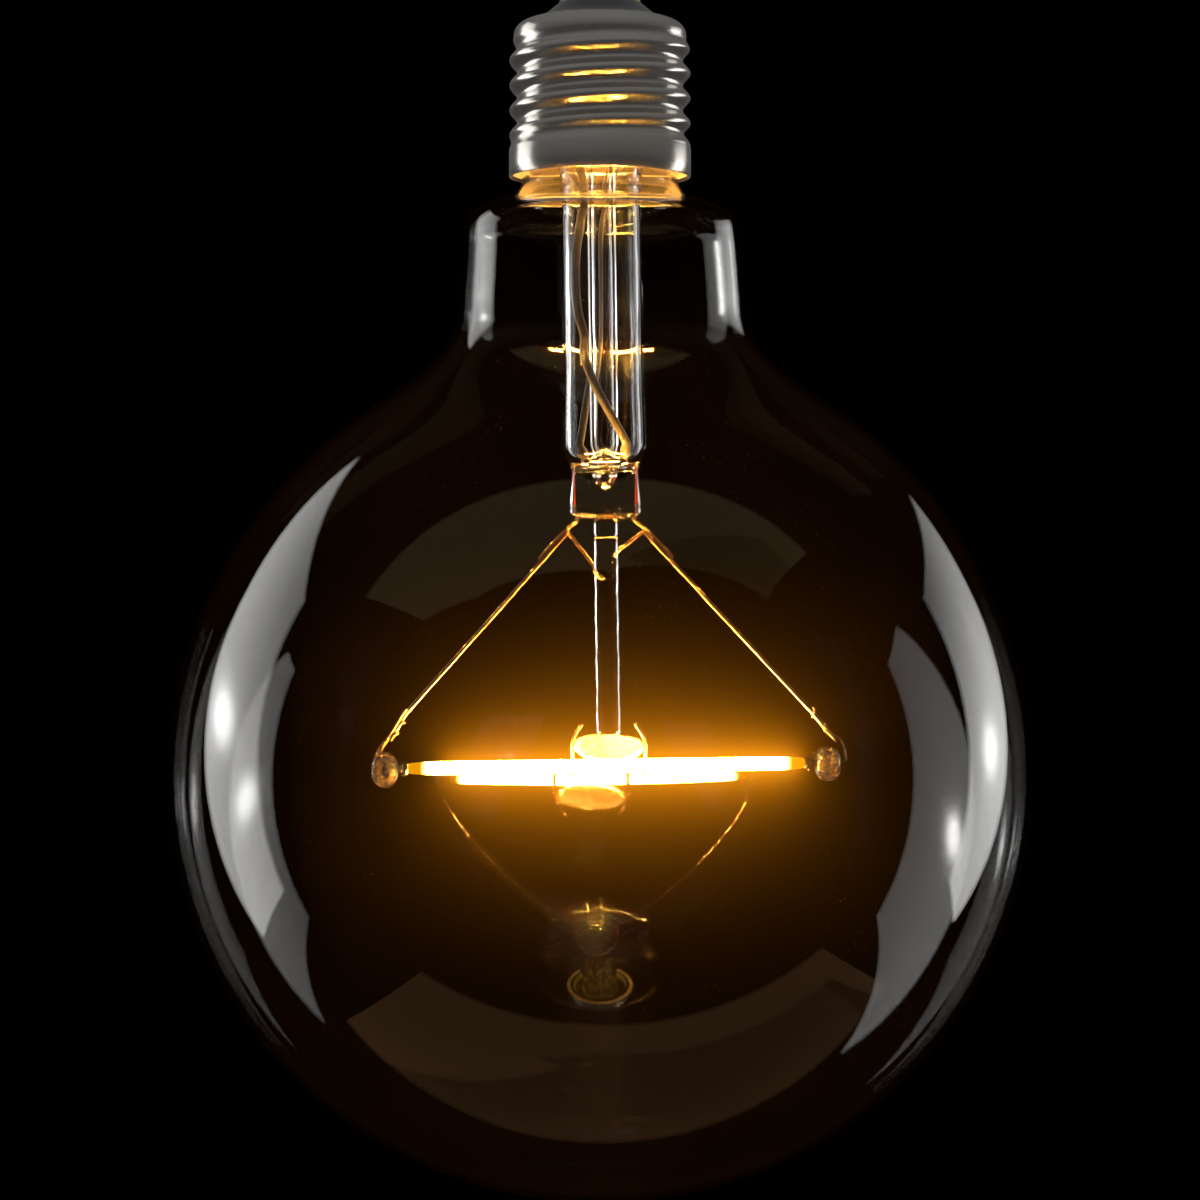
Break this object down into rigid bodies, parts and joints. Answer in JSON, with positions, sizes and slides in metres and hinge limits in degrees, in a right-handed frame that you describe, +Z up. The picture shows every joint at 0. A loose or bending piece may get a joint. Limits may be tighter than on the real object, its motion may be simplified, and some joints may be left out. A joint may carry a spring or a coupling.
{
  "type": "led globe bulb",
  "caption": "Clear glass globe bulb with an Edison screw cap and one straight LED filament held level under a glass stem.",
  "frame": {"origin": "centre of the cap's rim, where the plain band of the screw shell begins", "axes": "+Z up along the bulb's axis, from the globe to the cap's contact; +Y away from the picture's camera; +X to its right"},
  "size_m": [0.125, 0.125, 0.175],
  "materials": {
    "clear_glass": "clear blown soda glass, polished",
    "stem_glass": "clear drawn glass, fire-polished",
    "bead_glass": "melted glass with fine bubbles",
    "support_metal": "drawn nickel-iron wire, satin",
    "seal_copper": "copper-clad seal wire, oxidised red",
    "lead_copper": "drawn copper wire, satin",
    "lead_sleeving": "tan insulating sleeving, satin",
    "thin_wire": "thin drawn wire, satin",
    "strip_ceramic": "sintered ceramic, matt",
    "chip_crystal": "polished crystal",
    "phosphor_coat": "silicone filled with phosphor, lit",
    "lug_steel": "stamped steel, satin",
    "shell_nickel": "rolled brass sheet, nickel plated",
    "cement": "baked capping cement, matt",
    "black_glass": "pressed black glass",
    "contact_brass": "stamped brass",
    "solder": "soft solder, bright",
    "board_laminate": "glass-fibre laminate with green lacquer",
    "black_moulding": "moulded epoxy",
    "can_sleeve": "shrunk vinyl sleeve over an aluminium can",
    "resistor_body": "lacquered ceramic",
    "shrink_sleeve": "shrunk polyolefin"
  },
  "bodies": {
    "root": {"globe_envelope": "clear_glass", "stem_tube": "stem_glass", "exhaust_tube": "stem_glass", "glass_rod": "stem_glass", "support_button": "stem_glass", "left_glass_bead": "bead_glass", "right_glass_bead": "bead_glass", "left_hook": "support_metal", "right_hook": "support_metal", "left_support_wire": "support_metal", "right_support_wire": "support_metal", "left_inner_lead": "support_metal", "right_inner_lead": "support_metal", "left_seal_wire": "seal_copper", "right_seal_wire": "seal_copper", "left_outer_lead": "lead_copper", "right_outer_lead": "lead_copper", "left_lead_sleeve": "lead_sleeving", "right_lead_sleeve": "lead_sleeving", "left_bead_wire": "thin_wire", "right_bead_wire": "thin_wire", "filament_strip": "strip_ceramic", "filament_chips": "chip_crystal", "filament_coat": "phosphor_coat", "left_filament_lug": "lug_steel", "right_filament_lug": "lug_steel", "screw_shell": "shell_nickel", "cap_cement": "cement", "cap_insulator": "black_glass", "contact_plate": "contact_brass", "contact_solder": "solder", "driver_board": "board_laminate", "bridge_rectifier": "black_moulding", "smoothing_capacitor": "can_sleeve", "driver_chip": "black_moulding", "fusible_resistor": "resistor_body", "resistor_sleeve": "shrink_sleeve", "side_wire": "lead_copper"}
  },
  "joints": []
}
